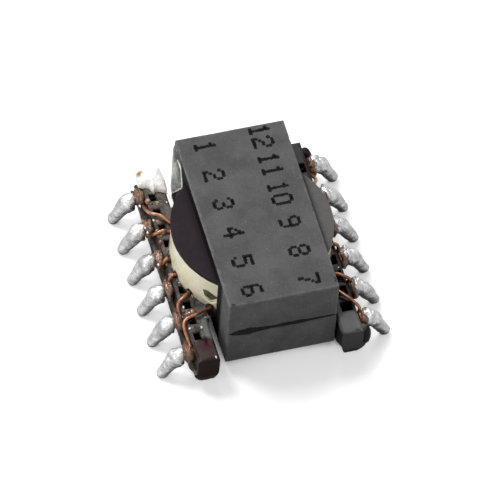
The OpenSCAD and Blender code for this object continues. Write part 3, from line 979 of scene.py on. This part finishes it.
def add_residue():
    """Lumps of burnt flux over the joints, more of them on the left."""
    parts = []
    for side, count in ((-1, 7), (1, 4)):
        for k in range(1, POLES + 1):
            rng = random.Random(100 * k + side)
            for _ in range(count):
                x = side * rng.uniform(RAIL_X1 - 0.12, TIN_X + 0.06)
                y = pin_y(k) + rng.uniform(-0.36, 0.34)
                z = PIN_Z + rng.uniform(-0.05, 0.36)
                r = rng.uniform(0.08, 0.17)
                radii = (r, r * rng.uniform(0.8, 1.5), r * rng.uniform(0.6, 1.0))
                parts.append(blob((x, y, z), radii, rng.random() * 9, 0.35))
    for k in range(1, POLES + 1):
        parts.append(joint_lump(k, -1, (0.2, -0.06, 0.02), (0.3, 0.52, 0.5), 3.1, 0.32))
        parts.append(joint_lump(k, 1, (0.3, -0.1, -0.04), (0.34, 0.52, 0.5), 5.3, 0.3))
    add_piece("resin_lumps", *joined(parts), RESIN, "former_plastic")
    # dark rounded forms outside the right-hand end blocks: moulding, flux or resin, not known
    parts = [blob((RAIL_X1 + 0.14, y, 1.3), (0.42, 0.36, 0.76), y, 0.12, *FINE_BLOB)
             for y in (-5.72, 5.78)]
    add_piece("shoulders_right", *joined(parts), FORMER, "former_plastic")
    # tin drawn up over the right-hand joints
    parts = [joint_lump(k, 1, (0.52, 0.02, 0.06), (0.3, 0.5, 0.44), 7.7, 0.3)
             for k in range(1, POLES + 1)]
    add_piece("tin_at_joints_right", *joined(parts), TIN, "solder_tin")
    add_rail_clutter()


def over_pocket(x, y):
    """Whether a spot on a rail's top lies over one of its pockets."""
    off = (y / (PITCH / 2) - 0.5) % 1
    inside = RAIL_X1 - POCKET_FAR < abs(x) < RAIL_X1 - POCKET_NEAR and abs(y) < POCKETS_END
    return inside and min(off, 1 - off) < POCKET_HALF


def add_rail_clutter():
    """Dried flux on the left rail's top, and in the inner part of its pockets."""
    rng = random.Random(31)
    parts = []
    for _ in range(150):
        r = rng.uniform(0.06, 0.2)
        spot = (-rng.uniform(RAIL_X0 + 0.3, RAIL_X1 - 0.02),
                rng.uniform(-POCKETS_END, 4.5), RAIL_Z)
        if over_pocket(spot[0], spot[1]):
            continue
        parts.append(dome(spot, RIGHT, BACK, UP,
                          rounded_reach(r, r * rng.uniform(0.5, 1.2), rng.random() * 9, 0.25),
                          rng.uniform(0.03, 0.09), lump=0.4, seed=rng.random() * 5, rings=4,
                          sides=14))
    add_piece("resin_on_rail_left", *joined(parts), RESIN, "former_plastic")
    parts = []
    z = RAIL_Z - 0.1
    for i in range(2 * POLES - 2):
        y = (i - POLES + 1.5) * PITCH / 2
        parts.append(blob((-RAIL_X1 + 0.68, y, z), (0.17, 0.4, 0.12), i * 1.7, 0.2))
        parts.append(blob((-RAIL_X1 + 0.46, y + 0.28, z), (0.36, 0.13, 0.12), i * 2.9, 0.2))
    add_piece("flux_in_pockets_left", *joined(parts), FORMER, "former_plastic")


# the hollow under the tape's loose end, and the lip below it: degrees round the coil and height
HOLLOW_MIDDLE = (225, 3.26)
HOLLOW_EDGE = ((218.6, 3.46), (222.8, 3.58), (231.2, 3.34), (226.4, 2.93), (220, 3.08))
LIP = ((217, 3.06), (219.6, 2.98), (223.3, 2.86), (227, 2.8), (230.4, 3.02), (232.6, 3.2),
       (234, 3.32))


def add_tape_end():
    """Where the tape's end stands off: a hollow painted dark as its shade, with a pale lip under
    it.
    """
    r = COIL_R + 2 * TAPE_T + 0.1
    turn, level = math.radians(HOLLOW_MIDDLE[0]), HOLLOW_MIDDLE[1]
    corners = [(r * (math.radians(a) - turn), z - level) for a, z in HOLLOW_EDGE]
    reach = patch_reach(corners, (0, 0))
    rings, sides, verts = 6, 40, []
    for i in range(rings + 1):
        share = i / rings
        for j in range(sides):
            u, v = reach(math.tau * j / sides)
            a = turn + u * share / r
            out = r + 0.01 * (1 - share) - (0.05 if i == rings else 0)
            verts.append(Vector((out * math.cos(a), out * math.sin(a), level + v * share)))
    add_piece("tape_end_hollow", *drop_mesh(verts, rings + 1, sides), HOLLOW, "cream_tape")
    lip = smooth_curve([((r + 0.02) * math.cos(math.radians(a)),
                         (r + 0.02) * math.sin(math.radians(a)), z) for a, z in LIP], 8)
    wire = tube(lip, lambda t: 0.045 * math.sin(math.pi * (0.1 + 0.8 * t)), 10)
    add_piece("tape_end_lip", *wire, TAPE, "cream_tape")


# ---- varnish ----

# the run's raised rim and the rest of its outline on the core's left side, as (y, z)
VARNISH_RIM = ((4.65, 4.8), (4.07, 4.96), (3.81, 4.6), (3.6, 3.92), (3.99, 3.15), (4.64, 2.1),
               (5.29, 1.06))
VARNISH_END = CORE_HIGH.y - 0.06
VARNISH_REST = ((VARNISH_END, 1.15), (VARNISH_END, 5.3), (4.95, 5.36))
VARNISH_MIDDLE = (4.6, 3.7)


def add_varnish():
    """A run of varnish on the core's side: a thin skin with a raised rim."""
    x = CORE_LOW.x
    outline = patch_reach(VARNISH_RIM + VARNISH_REST, VARNISH_MIDDLE)
    skin = dome((x, *VARNISH_MIDDLE), BACK, UP, LEFT, outline, VARNISH_T, lump=0.04, seed=6,
                rings=12, sides=80, sink=0.004)
    add_piece("varnish_film", *skin, VARNISH, "adhesive")
    # the raised rim is white as a painted highlight
    points = [Vector((x - 0.02, y, z)) for y, z in VARNISH_RIM]
    first = points[0] + (points[0] - points[1])
    last = points[-1] + (points[-1] - points[-2])
    path = smooth_curve([first] + points + [last], 8) + [points[-1]]
    rope = tube(path, lambda t: 0.05 * math.sin(math.pi * min(1, max(0.03, t))) ** 0.3, 10)
    add_piece("varnish_rim", *rope, FLUX_WITH_GLINTS, "adhesive")


# ---- marking ----

# rows of a five by seven dot figure, from its top, as five-bit numbers
FIGURE_W, FIGURE_H = 5, 7
FIGURES = {
    "0": (14, 17, 17, 17, 17, 17, 14), "1": (4, 12, 4, 4, 4, 4, 14),
    "2": (14, 17, 1, 6, 8, 16, 31), "3": (14, 17, 1, 6, 1, 17, 14),
    "4": (2, 6, 10, 18, 31, 2, 2), "5": (31, 16, 30, 1, 1, 17, 14),
    "6": (14, 16, 16, 30, 17, 17, 14), "7": (31, 1, 2, 4, 4, 8, 8),
    "8": (14, 17, 17, 14, 17, 17, 14), "9": (14, 17, 17, 15, 1, 1, 14),
}


def ink_dot(x, y, radius, rng, sides=9):
    """A flat dot of ink on the core's top."""
    verts = []
    for z in (CORE_HIGH.z - 0.004, CORE_HIGH.z + 0.004):
        for j in range(sides):
            a = math.tau * j / sides
            r = radius * (1 + 0.14 * math.sin(3 * a + rng.random() * 6))
            verts.append((x + r * math.cos(a), y + r * math.sin(a), z))
    return verts, ring_faces(2, sides)


def dotted(text, centre, tall, rng):
    """Ink dots of a plain number that reads towards the front, its tops towards +X."""
    pitch_up = tall / FIGURE_H
    pitch_on = pitch_up * 0.82
    length = (len(text) * (FIGURE_W + 1) - 1) * pitch_on
    parts = []
    for place, figure in enumerate(text):
        for row, bits in enumerate(FIGURES[figure]):
            for column in range(FIGURE_W):
                if not bits >> (FIGURE_W - 1 - column) & 1:
                    continue
                x = centre[0] + (FIGURE_H // 2 - row) * pitch_up + rng.uniform(-0.008, 0.008)
                on = place * (FIGURE_W + 1) + column + 0.5
                y = centre[1] + length / 2 - on * pitch_on + rng.uniform(-0.008, 0.008)
                parts.append(ink_dot(x, y, pitch_up * rng.uniform(0.56, 0.7), rng))
    return parts


def add_marks():
    """Terminal numbers beside each row."""
    rng = random.Random(5)
    parts = []
    for side in ROWS:
        for k in range(1, POLES + 1):
            spot = (CORE_MID.x + side * 1.5, pin_y(k) * 0.93)
            parts.extend(dotted(str(number_of(k, side)), spot, 1.12, rng))
    add_piece("ink_terminal_numbers", *joined(parts), INK, "ferrite", sharp=60)


# ---- build ----

add_core()
add_glue()
add_former()
add_windings()
add_outer_tape()
add_tin()
add_flux()
add_residue()
add_tape_end()
add_varnish()
add_marks()

for name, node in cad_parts.items():
    if name.startswith("terminal_"):
        kept = TERMINAL
    elif name.startswith("layer_tape_"):
        kept = FILM
    else:
        continue
    node.data.materials.clear()
    node.data.materials.append(kept)


# ---- studio ----

FLOOR_GREY = 0.8
FLOOR_GLOW = 0.5
SKY_FILL = 0.27
# painted shade on the floor where the part closes in on it: reach, and the open share that is dark
# or lit
SLOT_REACH = 2.2
SLOT_DARK = 0.14
SLOT_LIT = 0.3

# name, direction from the part, distance, size and power
LIGHTS = (("key", (-0.36, 0.4, 0.85), 0.4, 0.14, 0.9),
          ("back", (0.12, 0.62, 0.78), 0.45, 0.22, 0.75),
          ("fill", (-0.85, -0.3, 0.42), 0.5, 0.3, 0.58))


def stage_material():
    """White floor: it glows to the camera, and has painted shade in the part's narrow slots."""
    p = Paint("stage_white", (FLOOR_GREY,) * 3, 0.9, Specular_IOR_Level=0.0)
    closed = p.add("ShaderNodeAmbientOcclusion")
    closed.inputs["Distance"].default_value = SLOT_REACH * MM
    lit = p.fit(closed.outputs["AO"], SLOT_DARK, SLOT_LIT)
    p.colour(p.math("MULTIPLY", lit, FLOOR_GREY))
    glow = p.add("ShaderNodeEmission")
    seen = p.add("ShaderNodeLightPath").outputs["Is Camera Ray"]
    p.feed(glow.inputs["Strength"], p.math("MULTIPLY", seen, FLOOR_GLOW))
    p.feed(glow.inputs["Color"], lit)
    both = p.add("ShaderNodeAddShader")
    p.feed(both.inputs[0], p.shader.outputs[0])
    p.feed(both.inputs[1], glow.outputs[0])
    p.feed(p.tree.nodes["Material Output"].inputs["Surface"], both.outputs[0])
    return p.mat


def add_floor():
    mesh = bpy.data.meshes.new("studio_floor")
    mesh.from_pydata([(-3, -3, 0), (3, -3, 0), (3, 3, 0), (-3, 3, 0)], [], [(0, 1, 2, 3)])
    mesh.materials.append(stage_material())
    floor = bpy.data.objects.new("studio_floor", mesh)
    bpy.context.scene.collection.objects.link(floor)


def add_world():
    """White all round to the camera and in reflections, and dimmer as light on the part."""
    world = bpy.data.worlds.new("studio")
    world.use_nodes = True
    bpy.context.scene.world = world
    tree = world.node_tree
    background = tree.nodes["Background"]
    background.inputs["Color"].default_value = (1, 1, 1, 1)
    rays = tree.nodes.new("ShaderNodeLightPath")
    seen = rays.outputs["Is Camera Ray"]
    for kind in ("Is Glossy Ray", "Is Transmission Ray"):
        either = tree.nodes.new("ShaderNodeMath")
        either.operation = "MAXIMUM"
        tree.links.new(seen, either.inputs[0])
        tree.links.new(rays.outputs[kind], either.inputs[1])
        seen = either.outputs[0]
    level = tree.nodes.new("ShaderNodeMapRange")
    level.inputs["To Min"].default_value = SKY_FILL
    level.inputs["To Max"].default_value = 1.0
    tree.links.new(seen, level.inputs["Value"])
    tree.links.new(level.outputs["Result"], background.inputs["Strength"])


def add_light(name, towards, distance, size, power):
    """A round lamp that shines on the part from that direction."""
    data = bpy.data.lights.new(name, "AREA")
    data.shape = "DISK"
    data.size = size
    data.energy = power
    light = bpy.data.objects.new(name, data)
    aim = Vector((0, 0, 0.003))
    direction = Vector(towards).normalized()
    light.location = aim + direction * distance
    light.rotation_mode = "QUATERNION"
    light.rotation_quaternion = direction.to_track_quat("Z", "Y")
    bpy.context.scene.collection.objects.link(light)


def add_camera():
    """The photograph's camera, fitted by least squares to the part's corners and terminals."""
    right = Vector((0.96430, -0.26056, 0.04721))
    down = Vector((-0.18430, -0.78839, -0.58691))
    ahead = Vector((0.19014, 0.55726, -0.80827))
    data = bpy.data.cameras.new("view")
    data.lens = 564.6
    data.sensor_width = 36
    data.clip_start, data.clip_end = 0.02, 20
    camera = bpy.data.objects.new("view", data)
    spot = Vector((CORE_MID.x * MM, CORE_MID.y * MM, CORE_HIGH.z * MM))
    spot += -0.4 * ahead - 0.000342 * right + 0.001906 * down
    axes = Matrix((right, -down, -ahead)).transposed()
    camera.matrix_world = Matrix.Translation(spot) @ axes.to_4x4()
    bpy.context.scene.collection.objects.link(camera)
    bpy.context.scene.camera = camera


add_floor()
add_world()
for lamp in LIGHTS:
    add_light(*lamp)
add_camera()

scene = bpy.context.scene
scene.view_settings.view_transform = "Standard"
